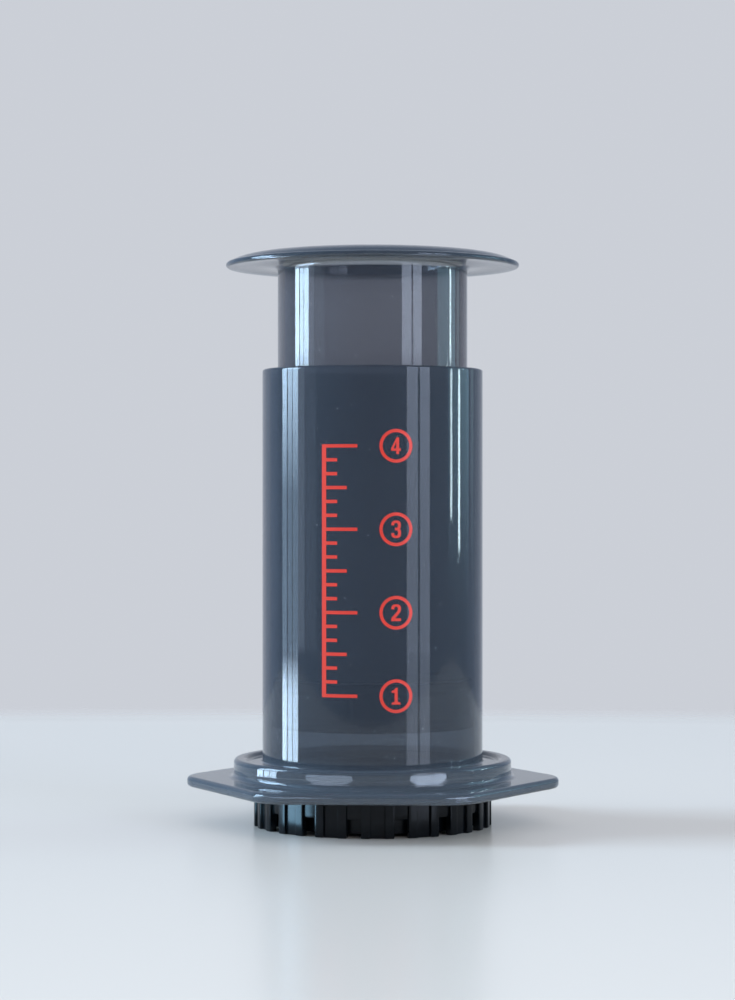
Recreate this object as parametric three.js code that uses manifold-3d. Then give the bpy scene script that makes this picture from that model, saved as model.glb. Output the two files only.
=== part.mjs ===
// Piston coffee press: a plunger with a rubber seal slides in a chamber whose lower end is closed by a
// perforated twist-lock cap, with a paper filter on the cap's floor. Millimetres, +Z up, with the origin on
// the table under the middle of the press. Angles are in degrees, from the front (-Y) towards +X.
import * as THREE from "three";
import { mergeGeometries, mergeVertices, toCreasedNormals } from "three/addons/utils/BufferGeometryUtils.js";
import Module from "manifold-3d";

const wasm = await Module();
wasm.setup();

// Clearances between the pieces, and how far joined shapes reach into each other
const runningGap = 0.3;
const seatGap = 0.3;
const weld = 0.4;

// Chamber tube: its bore, wall and length, and the thinner spigot that goes into the cap
const boreRadius = 29.6;
const tubeWall = 2.35;
const tubeLength = 124.1;
const rimRound = 0.7;
const spigotWall = 1.4;

// Bayonet: lugs on the spigot turn under ledges in the cap
const lugCount = 4;
const lugReach = 1.0;
const lugThickness = 1.7;
const lugLift = 0.4;
const lugSpanDegrees = 16;
const ledgeSpanDegrees = 20;
const ledgeThickness = 1.8;
const stopSpanDegrees = 2.4;
const stopGapDegrees = 0.6;
const bayonetPhaseDegrees = 45;

// Hexagonal flange that rests on a mug, with its corners at +X and -X
const flangeUnderside = 11;
const flangeThickness = 3;
const flangeAcrossTips = 108;
const flangeCornerRadius = 12.9;
const flangeEdgeRound = 1.1;
const hexSides = 6;

// Round collar that stands on the flange and is hollow below, where the cap's skirt rises into it
const skirtSpace = 3.7;
const skirtHeadroom = 0.8;
const collarWall = 2.2;
const collarRoof = 2.15;
const collarTaper = 0.7;
const collarCrestRise = 0.7;
const collarCrestRound = 1.2;
const collarDishWidth = 2.4;
const collarFootFillet = 1.8;
const tubeFillet = 1.6;

// Filter cap: skirt with raised ribs, windows along its lower edge, and a perforated floor
const skirtHeight = 15.8;
const skirtWall = 1.4;
const skirtChamfer = 0.3;
const windowCount = 16;
const windowHeight = 5.2;
const windowSpanDegrees = 6.75;
const windowPhaseDegrees = -6.3;
const ribHeight = 0.8;
const ribSpanDegrees = 4.5;
const capFloorThickness = 1.8;
const innerRingRadius = 30.9;
const innerRingWall = 1.5;
const innerRingRecess = 1;

// Drain holes in rings about one hole in the middle
const drainRadius = 1;
const drainRingPitch = 5.1;
const drainRingCounts = [6, 12, 18, 24, 36];
const drainSides = 6;

// Paper filter
const paperThickness = 0.2;

// Plunger: how high it stands above the filter, its tube, and the neck and head that hold the seal
const brewDepth = 21.3;
const plungerPlay = 2.1;
const plungerWall = 2;
const plungerFloor = 2.2;
const neckInset = 6;
const headReach = 3;
const headThickness = 2.5;
const footChamfer = 0.6;

// Plunger flange: a domed ring that the palm pushes on
const domeHeight = 136.7;
const palmFlangeRadius = 42.5;
const palmEdgeRound = 0.8;
const palmEdgeDrop = 3.4;
const palmInnerRound = 1.4;
const palmUndersideDrop = 4.1;
const palmUndersideArch = 1.1;
const palmFillet = 1.2;
const domeShoulderShare = 0.62;

// Seal: two lips on a waisted rubber plug that snaps over the plunger's head
const sealGap = 0.3;
const sealHeight = 13.7;
const sealBase = 4.7;
const sealCrown = 1;
const sealLipWidth = 2.4;
const sealWaist = 1;
const sealLipRound = 0.7;

// How finely round shapes are divided
const turnSteps = 60;
const curveSteps = 3;
const arcStepDegrees = 6;
const creaseAngle = Math.PI / 6;

// Radii that follow from the sizes above
const tubeRadius = boreRadius + tubeWall;
const spigotRadius = boreRadius + spigotWall;
const lugRadius = spigotRadius + lugReach;
const ledgeRadius = spigotRadius + runningGap;
const capBoreRadius = lugRadius + runningGap;
const skirtRadius = capBoreRadius + skirtWall;
const ribRadius = skirtRadius + ribHeight;
const collarBoreRadius = ribRadius + skirtSpace;
const collarRadius = collarBoreRadius + collarWall;
const plungerRadius = boreRadius - plungerPlay;
const plungerBoreRadius = plungerRadius - plungerWall;
const neckRadius = plungerRadius - neckInset;
const neckBoreRadius = neckRadius - plungerWall;
const headRadius = neckRadius + headReach;
const sealRadius = boreRadius - sealGap;

// Heights above the table, from the cap up
const capFloorTop = windowHeight + capFloorThickness;
const paperLow = capFloorTop + seatGap;
const paperTop = paperLow + paperThickness;
const spigotLow = paperTop + seatGap;
const lugLow = spigotLow + lugLift;
const ledgeLow = lugLow + lugThickness + runningGap;
const ledgeTop = ledgeLow + ledgeThickness;
const flangeTop = flangeUnderside + flangeThickness;
const collarCeiling = skirtHeight + skirtHeadroom;
const collarDish = collarCeiling + collarRoof;
const collarCrest = collarDish + collarCrestRise;
const rimHeight = spigotLow + tubeLength;
const sealEdge = paperTop + brewDepth;
const sealTop = sealEdge + sealHeight;
const headLow = sealEdge + sealBase + seatGap;
const headTop = headLow + headThickness;
const shoulderLow = sealTop + seatGap;
const domeTop = sealEdge + domeHeight;

const radians = THREE.MathUtils.degToRad;

// The point at a radius and an angle from the front
function polar(radius, degrees) {
  return new THREE.Vector2(radius * Math.sin(radians(degrees)), -radius * Math.cos(radians(degrees)));
}

// Closed geometry to a solid that can be joined and cut: shared corners merged, empty triangles dropped
function solidOf(geometry) {
  const bare = new THREE.BufferGeometry();
  bare.setAttribute("position", geometry.getAttribute("position"));
  bare.setIndex(geometry.getIndex());
  const merged = mergeVertices(bare);
  const corners = merged.getIndex().array;
  const kept = [];
  for (let i = 0; i < corners.length; i += 3) {
    const [a, b, c] = corners.slice(i, i + 3);
    if (a !== b && b !== c && c !== a) kept.push(a, b, c);
  }
  const vertProperties = merged.getAttribute("position").array;
  return new wasm.Manifold(new wasm.Mesh({ numProp: 3, vertProperties, triVerts: new Uint32Array(kept) }));
}

// A solid turned about the Z axis from a closed outline of radius and height
function turned(outline) {
  const points = outline.getPoints(curveSteps);
  if (!points[0].equals(points.at(-1))) points.push(points[0].clone());
  return solidOf(new THREE.LatheGeometry(points, turnSteps).rotateX(Math.PI / 2));
}

// A flat outline raised from one height to another, with its edges chamfered if asked
function raised(outline, low, high, edge = 0, edgeSteps = 1) {
  const settings = { depth: high - low - 2 * edge, curveSegments: curveSteps, bevelEnabled: edge > 0 };
  if (edge > 0) {
    Object.assign(settings, { bevelThickness: edge, bevelSize: edge, bevelOffset: -edge });
    settings.bevelSegments = edgeSteps;
  }
  return solidOf(new THREE.ExtrudeGeometry(outline, settings).translate(0, 0, low + edge));
}

// Points along an arc about the Z axis, from one angle to another
function arcPoints(radius, fromDegrees, toDegrees) {
  const steps = Math.max(1, Math.ceil(Math.abs(toDegrees - fromDegrees) / arcStepDegrees));
  const at = (i) => polar(radius, THREE.MathUtils.lerp(fromDegrees, toDegrees, i / steps));
  return Array.from({ length: steps + 1 }, (_, i) => at(i));
}

// A block between two radii, centred on an angle
function arcBlock(inner, outer, middleDegrees, spanDegrees, low, high) {
  const from = middleDegrees - spanDegrees / 2;
  const to = middleDegrees + spanDegrees / 2;
  const outline = [...arcPoints(outer, from, to), ...arcPoints(inner, to, from)];
  return raised(new THREE.Shape(outline), low, high);
}

// Regular hexagon with round corners, one of them at +X
function hexOutline() {
  const apothemShare = Math.cos(Math.PI / hexSides);
  const cornerCentre = flangeAcrossTips / 2 - flangeCornerRadius;
  const outline = new THREE.Shape();
  for (let k = 0; k < hexSides; k++) {
    const towards = (k * 2 * Math.PI) / hexSides;
    const sweep = Math.acos(apothemShare);
    const x = cornerCentre * Math.cos(towards);
    const y = cornerCentre * Math.sin(towards);
    outline.absarc(x, y, flangeCornerRadius, towards - sweep, towards + sweep);
  }
  outline.closePath();
  return outline;
}

// Tube, spigot and hollow collar in one outline: up the outside, over the rim and down the bore
function chamberOutline() {
  const shoulder = collarRadius - collarTaper;
  const crest = shoulder - collarCrestRound;
  const outline = new THREE.Path();
  outline.moveTo(spigotRadius, spigotLow);
  outline.lineTo(spigotRadius, collarCeiling);
  outline.lineTo(collarBoreRadius, collarCeiling);
  outline.lineTo(collarBoreRadius, flangeUnderside);
  outline.lineTo(collarRadius + collarFootFillet, flangeUnderside);
  outline.lineTo(collarRadius + collarFootFillet, flangeTop);
  outline.quadraticCurveTo(collarRadius, flangeTop, collarRadius, flangeTop + collarFootFillet);
  outline.lineTo(shoulder, collarCrest - collarCrestRound);
  outline.quadraticCurveTo(shoulder, collarCrest, crest, collarCrest);
  outline.quadraticCurveTo(crest - collarDishWidth / 2, collarCrest, crest - collarDishWidth, collarDish);
  outline.lineTo(tubeRadius + tubeFillet, collarDish);
  outline.quadraticCurveTo(tubeRadius, collarDish, tubeRadius, collarDish + tubeFillet);
  outline.lineTo(tubeRadius, rimHeight - rimRound);
  outline.quadraticCurveTo(tubeRadius, rimHeight, tubeRadius - rimRound, rimHeight);
  outline.lineTo(boreRadius + rimRound, rimHeight);
  outline.quadraticCurveTo(boreRadius, rimHeight, boreRadius, rimHeight - rimRound);
  outline.lineTo(boreRadius, spigotLow);
  return outline;
}

// The angle of each bayonet lug
function bayonetAngles() {
  return Array.from({ length: lugCount }, (_, k) => bayonetPhaseDegrees + (k * 360) / lugCount);
}

function chamber() {
  const plate = raised(hexOutline(), flangeUnderside, flangeTop, flangeEdgeRound, 2);
  const core = new THREE.Path();
  core.moveTo(0, 0);
  core.lineTo(collarRadius, 0);
  core.lineTo(collarRadius, rimHeight);
  core.lineTo(0, rimHeight);
  let body = plate.subtract(turned(core)).add(turned(chamberOutline()));
  for (const angle of bayonetAngles()) {
    const root = spigotRadius - weld;
    body = body.add(arcBlock(root, lugRadius, angle, lugSpanDegrees, lugLow, lugLow + lugThickness));
  }
  return body;
}

// Skirt outline seen from above: a rib on each side of every window
function skirtOutline() {
  const pitch = 360 / windowCount;
  const points = [];
  for (let k = 0; k < windowCount; k++) {
    const middle = windowPhaseDegrees + k * pitch;
    const inner = windowSpanDegrees / 2;
    const outer = inner + ribSpanDegrees;
    points.push(...arcPoints(ribRadius, middle - outer, middle - inner));
    points.push(...arcPoints(skirtRadius, middle - inner, middle + inner));
    points.push(...arcPoints(ribRadius, middle + inner, middle + outer));
    points.push(...arcPoints(skirtRadius, middle + outer, middle + pitch - outer));
  }
  const outline = new THREE.Shape(points);
  outline.holes.push(new THREE.Path(arcPoints(capBoreRadius, 360, 0).slice(1)));
  return outline;
}

// Floor with the ring wall below it, which shows behind the windows
function capFloorOutline() {
  const outline = new THREE.Path();
  const ringBore = innerRingRadius - innerRingWall;
  outline.moveTo(0, windowHeight);
  outline.lineTo(ringBore, windowHeight);
  outline.lineTo(ringBore, innerRingRecess);
  outline.lineTo(innerRingRadius, innerRingRecess);
  outline.lineTo(innerRingRadius, windowHeight);
  outline.lineTo(capBoreRadius + weld, windowHeight);
  outline.lineTo(capBoreRadius + weld, capFloorTop);
  outline.lineTo(0, capFloorTop);
  return outline;
}

// All the drain holes as one set of upright prisms through the floor
function drains() {
  const prisms = [];
  const depth = capFloorThickness + 2 * weld;
  const addDrain = (place) => {
    const prism = new THREE.CylinderGeometry(drainRadius, drainRadius, depth, drainSides);
    prism.rotateX(Math.PI / 2);
    prisms.push(prism.translate(place.x, place.y, windowHeight + capFloorThickness / 2));
  };
  addDrain(new THREE.Vector2());
  drainRingCounts.forEach((count, ring) => {
    const radius = (ring + 1) * drainRingPitch;
    for (let i = 0; i < count; i++) addDrain(polar(radius, (i * 360) / count));
  });
  return solidOf(mergeGeometries(prisms));
}

// Ledge that a lug turns under, with the stop that the lug rests against when locked
function bayonetLedge(angle) {
  const root = capBoreRadius + weld;
  const stopMiddle = angle - lugSpanDegrees / 2 - stopGapDegrees - stopSpanDegrees / 2;
  const ledge = arcBlock(ledgeRadius, root, angle, ledgeSpanDegrees, ledgeLow, ledgeTop);
  return ledge.add(arcBlock(ledgeRadius, root, stopMiddle, stopSpanDegrees, capFloorTop - weld, ledgeTop));
}

function filterCap() {
  let body = raised(skirtOutline(), 0, skirtHeight, skirtChamfer);
  for (let k = 0; k < windowCount; k++) {
    const middle = windowPhaseDegrees + (k * 360) / windowCount;
    const inner = capBoreRadius - weld;
    body = body.subtract(arcBlock(inner, ribRadius, middle, windowSpanDegrees, -weld, windowHeight));
  }
  body = body.add(turned(capFloorOutline()));
  for (const angle of bayonetAngles()) body = body.add(bayonetLedge(angle));
  return body.subtract(drains());
}

function paperFilter() {
  const outline = new THREE.Path();
  outline.moveTo(0, paperLow);
  outline.lineTo(ledgeRadius, paperLow);
  outline.lineTo(ledgeRadius, paperTop);
  outline.lineTo(0, paperTop);
  return turned(outline);
}

// Head, neck and tube up to the domed flange, and back down inside to the closed foot
function plunger() {
  const edgeRadius = palmFlangeRadius - palmEdgeRound;
  const edgeHeight = domeTop - palmEdgeDrop;
  const underside = domeTop - palmUndersideDrop;
  const shoulder = THREE.MathUtils.lerp(plungerRadius, palmFlangeRadius, domeShoulderShare);
  const filletEnd = plungerRadius + palmFillet;
  const outline = new THREE.Path();
  outline.moveTo(0, headLow);
  outline.lineTo(headRadius, headLow);
  outline.lineTo(headRadius, headTop);
  outline.lineTo(neckRadius, headTop);
  outline.lineTo(neckRadius, shoulderLow);
  outline.lineTo(plungerRadius - footChamfer, shoulderLow);
  outline.lineTo(plungerRadius, shoulderLow + footChamfer);
  outline.lineTo(plungerRadius, underside - palmFillet);
  outline.quadraticCurveTo(plungerRadius, underside, filletEnd, underside);
  const archMiddle = (filletEnd + edgeRadius) / 2;
  outline.quadraticCurveTo(archMiddle, underside + palmUndersideArch, edgeRadius, edgeHeight - palmEdgeRound);
  outline.absarc(edgeRadius, edgeHeight, palmEdgeRound, -Math.PI / 2, Math.PI / 2);
  outline.quadraticCurveTo(shoulder, domeTop, plungerRadius, domeTop);
  outline.quadraticCurveTo(plungerBoreRadius, domeTop, plungerBoreRadius, domeTop - palmInnerRound);
  outline.lineTo(plungerBoreRadius, shoulderLow + plungerFloor);
  outline.lineTo(neckBoreRadius, shoulderLow + plungerFloor);
  outline.lineTo(neckBoreRadius, headLow + plungerFloor);
  outline.lineTo(0, headLow + plungerFloor);
  return turned(outline);
}

// Lips at the lower and upper edge, a waist between them, and an undercut pocket for the head and neck
function plungerSeal() {
  const waistRadius = sealRadius - sealWaist;
  const lowLip = sealEdge + sealLipWidth;
  const highLip = sealTop - sealLipWidth;
  const pocket = headRadius + seatGap;
  const collar = neckRadius + seatGap;
  const outline = new THREE.Path();
  outline.moveTo(0, sealEdge - sealCrown);
  outline.quadraticCurveTo(sealRadius / 2, sealEdge - sealCrown, sealRadius - sealLipRound, sealEdge);
  outline.lineTo(sealRadius, sealEdge + sealLipRound);
  outline.lineTo(sealRadius, lowLip);
  outline.lineTo(waistRadius, lowLip + sealWaist);
  outline.lineTo(waistRadius, highLip - sealWaist);
  outline.lineTo(sealRadius, highLip);
  outline.lineTo(sealRadius, sealTop - sealLipRound);
  outline.lineTo(sealRadius - sealLipRound, sealTop);
  outline.lineTo(collar, sealTop);
  outline.lineTo(collar, headTop + seatGap);
  outline.lineTo(pocket, headTop + seatGap);
  outline.lineTo(pocket, headLow - seatGap);
  outline.lineTo(0, headLow - seatGap);
  return turned(outline);
}

// A named mesh with creased normals, so that round walls look smooth and edges stay sharp
function piece(name, solid, material) {
  const { vertProperties, triVerts } = solid.getMesh();
  const geometry = new THREE.BufferGeometry();
  geometry.setAttribute("position", new THREE.BufferAttribute(new Float32Array(vertProperties), 3));
  geometry.setIndex(new THREE.BufferAttribute(new Uint32Array(triVerts), 1));
  const mesh = new THREE.Mesh(toCreasedNormals(geometry, creaseAngle), material);
  mesh.name = name;
  return mesh;
}

function finish(color, roughness, opacity = 1) {
  return new THREE.MeshStandardMaterial({ color, roughness, metalness: 0, opacity, transparent: opacity < 1 });
}

const press = new THREE.Group();
press.add(piece("chamber", chamber(), finish(0x3c4655, 0.14, 0.85)));
press.add(piece("plunger", plunger(), finish(0x545c68, 0.16, 0.85)));
press.add(piece("plunger_seal", plungerSeal(), finish(0x1a1b1d, 0.6)));
press.add(piece("filter_cap", filterCap(), finish(0x14171a, 0.28)));
press.add(piece("paper_filter", paperFilter(), finish(0xefece4, 0.95)));

export default press;
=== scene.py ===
# %% [markdown]
# # A piston coffee press
# This lesson dresses a small hand press for coffee: a smoke-grey tube on a hexagonal flange, a hollow
# plunger with a rubber seal inside it, and a black ribbed cap that holds a paper filter.
# The construction is already settled, so the first step loads it as a fixed frame. Every new piece is
# modelled in the same place and size, and then stands in for the plain solid of the same part.

# %% Load the frame
import math

import bmesh
import bpy
from mathutils import Matrix, Vector


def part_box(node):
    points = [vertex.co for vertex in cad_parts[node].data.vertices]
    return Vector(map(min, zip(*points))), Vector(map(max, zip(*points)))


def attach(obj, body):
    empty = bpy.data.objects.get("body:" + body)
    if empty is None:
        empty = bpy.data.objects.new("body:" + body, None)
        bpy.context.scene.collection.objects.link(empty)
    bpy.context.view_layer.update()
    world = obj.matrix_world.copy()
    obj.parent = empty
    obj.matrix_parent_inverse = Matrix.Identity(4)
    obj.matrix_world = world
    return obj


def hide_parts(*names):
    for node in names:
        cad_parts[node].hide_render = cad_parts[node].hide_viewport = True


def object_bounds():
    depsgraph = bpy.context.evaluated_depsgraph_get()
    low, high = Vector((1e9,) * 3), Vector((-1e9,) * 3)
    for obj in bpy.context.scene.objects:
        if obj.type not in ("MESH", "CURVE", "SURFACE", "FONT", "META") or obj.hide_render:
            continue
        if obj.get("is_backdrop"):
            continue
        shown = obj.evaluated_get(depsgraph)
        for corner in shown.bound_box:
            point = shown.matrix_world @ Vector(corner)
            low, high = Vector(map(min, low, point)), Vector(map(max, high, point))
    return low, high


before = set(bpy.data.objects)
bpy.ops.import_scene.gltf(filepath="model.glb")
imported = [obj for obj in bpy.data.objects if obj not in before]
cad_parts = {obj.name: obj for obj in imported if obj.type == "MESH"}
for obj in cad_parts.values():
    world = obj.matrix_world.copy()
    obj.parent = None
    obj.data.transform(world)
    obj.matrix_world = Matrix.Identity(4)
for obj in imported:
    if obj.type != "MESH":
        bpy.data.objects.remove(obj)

cad_box = [list(corner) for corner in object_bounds()]
scene = bpy.context.scene

# %% [markdown]
# ## Units and heights
# Blender works in metres, and a designer of small mouldings thinks in millimetres. Sizes are written in
# millimetres and multiplied by MM once, when a mesh is made. Heights that the frame knows are read from
# it, so that each new piece sits exactly where the old one does.

# %% Millimetres and the frame's heights
MM = 0.001


def low(node):
    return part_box(node)[0].z / MM


def high(node):
    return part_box(node)[1].z / MM


SPIGOT_LOW, RIM = low("chamber"), high("chamber")
HEAD_LOW, DOME_TOP = low("plunger"), high("plunger")
SEAL_LOW, SEAL_TOP = low("plunger_seal"), high("plunger_seal")
PAPER_LOW, PAPER_TOP = low("paper_filter"), high("paper_filter")
SKIRT_TOP = high("filter_cap")
print(f"rim {RIM:.1f} mm, dome {DOME_TOP:.1f} mm, cap {SKIRT_TOP:.1f} mm above the table")

# %% [markdown]
# ## Colours and nodes
# Colours are picked as sRGB hex values, as from a swatch, and the shaders want linear light, so one
# function turns them. One more adds a node with its settings and its links, which keeps each material
# short enough to read as a recipe. A Mix node has its sockets once for numbers and once more for
# colours, under the same names, so the ones for colours are reached by their place.

# %% Colour and node helpers
COLOUR_A, COLOUR_B, COLOUR_RESULT = 6, 7, 2


def linear(code, alpha=1.0):
    channels = [int(code[i:i + 2], 16) / 255 for i in (1, 3, 5)]
    return (*(c / 12.92 if c <= 0.04045 else ((c + 0.055) / 1.055) ** 2.4 for c in channels), alpha)


def add(tree, kind, settings=None, links=None):
    """Add one node, set its properties and sockets, and link its inputs."""
    node = tree.nodes.new(kind)
    for name, value in (settings or {}).items():
        if name in node.inputs:
            node.inputs[name].default_value = value
        else:
            setattr(node, name, value)
    for name, source in (links or {}).items():
        tree.links.new(source, node.inputs[name])
    return node


def empty_tree(owner):
    """The node tree of a new material or world, without the nodes it starts with."""
    owner.use_nodes = True
    owner.node_tree.nodes.clear()
    return owner.node_tree


def new_material(name, settings):
    """A material with one Principled shader, and the coordinates of the piece in metres."""
    material = bpy.data.materials.new(name)
    tree = empty_tree(material)
    shader = add(tree, "ShaderNodeBsdfPrincipled", settings)
    add(tree, "ShaderNodeOutputMaterial", {}, {"Surface": shader.outputs["BSDF"]})
    place = add(tree, "ShaderNodeTexCoord").outputs["Object"]
    return material, tree, shader, place


# %% [markdown]
# ## The camera
# The photograph was taken from about 78 cm away with the camera level and a little above the middle of
# the press, so the rim and the table bend opposite ways. The press is turned by two and a half degrees,
# so the camera stands that much to the right of its front.

# %% Camera
PHOTO_WIDTH, PHOTO_HEIGHT = 735, 1000
CAMERA_DISTANCE = 780
CAMERA_HEIGHT = 96.7
CAMERA_TURN = math.radians(2.5)
PIXELS_PER_MM = 3.444
AXIS_PIXEL = (372.5, 491)

focal_pixels = PIXELS_PER_MM * CAMERA_DISTANCE
lens = bpy.data.cameras.new("photograph")
lens.sensor_fit = "VERTICAL"
lens.sensor_height = 24
lens.lens = lens.sensor_height * focal_pixels / PHOTO_HEIGHT
lens.clip_start = 10 * MM
camera = bpy.data.objects.new("photograph", lens)
scene.collection.objects.link(camera)
stand = Vector((math.sin(CAMERA_TURN), -math.cos(CAMERA_TURN), 0)) * CAMERA_DISTANCE * MM
camera.location = stand + Vector((0, 0, CAMERA_HEIGHT * MM))
pan = math.atan((AXIS_PIXEL[0] - PHOTO_WIDTH / 2) / focal_pixels)
tilt = math.atan((PHOTO_HEIGHT / 2 - AXIS_PIXEL[1]) / focal_pixels)
camera.rotation_euler = (math.pi / 2 - tilt, 0, CAMERA_TURN + pan)
scene.camera = camera
print(f"lens {lens.lens:.1f} mm, pan {math.degrees(pan):.2f}, tilt {math.degrees(tilt):.2f} degrees")

# %% [markdown]
# ## The floor and the room
# A smooth plastic shows whatever is round it, so the room matters as much as the material. The world is
# an even pale grey, like the blurred wall in the photograph, and falls off to a darker room on the
# camera's side. That dark side is what the front of the tubes mirrors, and it makes them look deep. In
# mirrors it reaches farther round than in the soft light, so the sides of the tubes are deep as well.
# Behind the press, and through its plastic, the wall is the same pale grey from every side.

# %% World
ROOM_STRENGTH, DARK_SIDE_STRENGTH = 0.97, 0.2
DARK_SIDE_ANGLE = CAMERA_TURN + math.radians(5)
world = bpy.data.worlds.new("room")
room = empty_tree(world)
outward = add(room, "ShaderNodeTexCoord").outputs["Generated"]
toward_dark = add(room, "ShaderNodeVectorMath", {"operation": "DOT_PRODUCT"}, {"Vector": outward})
toward_dark.inputs[1].default_value = (math.sin(DARK_SIDE_ANGLE), -math.cos(DARK_SIDE_ANGLE), 0)
levels = {}
for kind, start, end in (("soft", 0.05, 0.95), ("mirrored", -1.12, -0.35)):
    levels[kind] = add(room, "ShaderNodeMapRange", {
        "interpolation_type": "SMOOTHSTEP", "From Min": start, "From Max": end,
        "To Min": ROOM_STRENGTH, "To Max": DARK_SIDE_STRENGTH,
    }, {"Value": toward_dark.outputs["Value"]}).outputs["Result"]
ray = add(room, "ShaderNodeLightPath").outputs
around = add(room, "ShaderNodeMix", {}, {
    "Factor": ray["Is Glossy Ray"], "A": levels["soft"], "B": levels["mirrored"]})
seen = add(room, "ShaderNodeMath", {"operation": "MAXIMUM"})
room.links.new(ray["Is Camera Ray"], seen.inputs[0])
room.links.new(ray["Is Transmission Ray"], seen.inputs[1])
strength = add(room, "ShaderNodeMix", {"B": ROOM_STRENGTH}, {
    "Factor": seen.outputs["Value"], "A": around.outputs["Result"]})
bluer = add(room, "ShaderNodeMapRange", {
    "From Min": ROOM_STRENGTH, "From Max": DARK_SIDE_STRENGTH,
}, {"Value": strength.outputs["Result"]})
tint = add(room, "ShaderNodeMix", {"data_type": "RGBA"}, {"Factor": bluer.outputs["Result"]})
tint.inputs[COLOUR_A].default_value = linear("#ced2da")
tint.inputs[COLOUR_B].default_value = linear("#8fb0e4")
wall = add(room, "ShaderNodeBackground", {}, {
    "Color": tint.outputs[COLOUR_RESULT], "Strength": strength.outputs["Result"]})
add(room, "ShaderNodeOutputWorld", {}, {"Surface": wall.outputs["Background"]})
scene.world = world
print(len(room.nodes), "nodes in the room")

# %% [markdown]
# The floor is a pale polished counter. It fades out at its edge, so that it meets the wall softly from
# every side and still takes the shadow of the press. It is longer to the left and right, because the
# low parts of the press mirror it there.

# %% Floor
FLOOR_DEPTH, FLOOR_LENGTH, FLOOR_SOLID_SHARE = 430, 900, 0.78


def polished_stone():
    """Pale polished counter stone that fades out with distance from the press."""
    settings = {"Base Color": linear("#f1eae0"), "Roughness": 0.24, "IOR": 1.3}
    material, tree, shader, place = new_material("polished pale stone", settings)
    shares = add(tree, "ShaderNodeMapping", {
        "Scale": (1 / (FLOOR_LENGTH * MM), 1 / (FLOOR_DEPTH * MM), 0),
    }, {"Vector": place})
    away = add(tree, "ShaderNodeVectorMath", {"operation": "LENGTH"}, {"Vector": shares.outputs["Vector"]})
    fade = add(tree, "ShaderNodeMapRange", {
        "interpolation_type": "SMOOTHSTEP", "From Min": FLOOR_SOLID_SHARE, "From Max": 1.0,
    }, {"Value": away.outputs["Value"]})
    clear = add(tree, "ShaderNodeBsdfTransparent")
    mixed = add(tree, "ShaderNodeMixShader", {}, {"Fac": fade.outputs["Result"]})
    tree.links.new(shader.outputs["BSDF"], mixed.inputs[1])
    tree.links.new(clear.outputs["BSDF"], mixed.inputs[2])
    output = next(node for node in tree.nodes if node.type == "OUTPUT_MATERIAL")
    tree.links.new(mixed.outputs["Shader"], output.inputs["Surface"])
    return material


disc = bmesh.new()
bmesh.ops.create_circle(disc, cap_ends=True, radius=MM, segments=96)
bmesh.ops.scale(disc, vec=(FLOOR_LENGTH, FLOOR_DEPTH, 1), verts=disc.verts)
floor_mesh = bpy.data.meshes.new("counter")
disc.to_mesh(floor_mesh)
disc.free()
floor_mesh.materials.append(polished_stone())
floor = bpy.data.objects.new("counter", floor_mesh)
scene.collection.objects.link(floor)
floor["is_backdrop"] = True
print(f"counter of {2 * FLOOR_LENGTH} by {2 * FLOOR_DEPTH} mm")

# %% [markdown]
# ## Windows as lamps
# The tall pale bands on both tubes are windows mirrored in the curved walls. On an upright cylinder, a
# band that is seen where the wall faces the angle a away from the camera mirrors what stands at 2a. So
# each lamp stands at twice the angle of its band. The left window has three panes, with a curtain and a
# wall beside them. The front window has two panes. At the right stand three bright slits in a dim wall
# that fades towards the floor.

# %% Lamps
WINDOW_DISTANCE = 900


def lamp(name, angle, lift, width, height, strength, tint, distance=WINDOW_DISTANCE):
    """A rectangular lamp that faces the axis, at an angle to the right of the camera and a lift in mm."""
    light = bpy.data.lights.new(name, "AREA")
    light.shape = "RECTANGLE"
    light.size, light.size_y = width * MM, height * MM
    light.color = linear(tint)[:3]
    # The power grows with the area, so the lamp's face looks as bright as its strength says at any size.
    light.energy = strength * math.pi * light.size * light.size_y
    holder = bpy.data.objects.new(name, light)
    scene.collection.objects.link(holder)
    turn = CAMERA_TURN + math.radians(angle)
    holder.location = (math.sin(turn) * distance * MM, -math.cos(turn) * distance * MM, lift * MM)
    holder.rotation_euler = (math.pi / 2, 0, turn)
    holder.visible_camera = False
    holder.visible_transmission = False
    return holder


# %% [markdown]
# The polished counter would mirror these strong lamps too, as white patches that a view from behind
# would show. So each window is two lamps that are linked to what they may light: one for all but the
# counter, and its twin for the counter alone, which isn't mirrored. The twin is larger and stands as
# many times farther off, so it gives the same light at the press and evenly all along the counter.

# %% Windows
COUNTER_TIMES = 10

all_but_counter = bpy.data.collections.new("all but the counter")
all_but_counter.objects.link(floor)
all_but_counter.collection_objects[0].light_linking.link_state = "EXCLUDE"
counter_alone = bpy.data.collections.new("the counter alone")
counter_alone.objects.link(floor)


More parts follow.
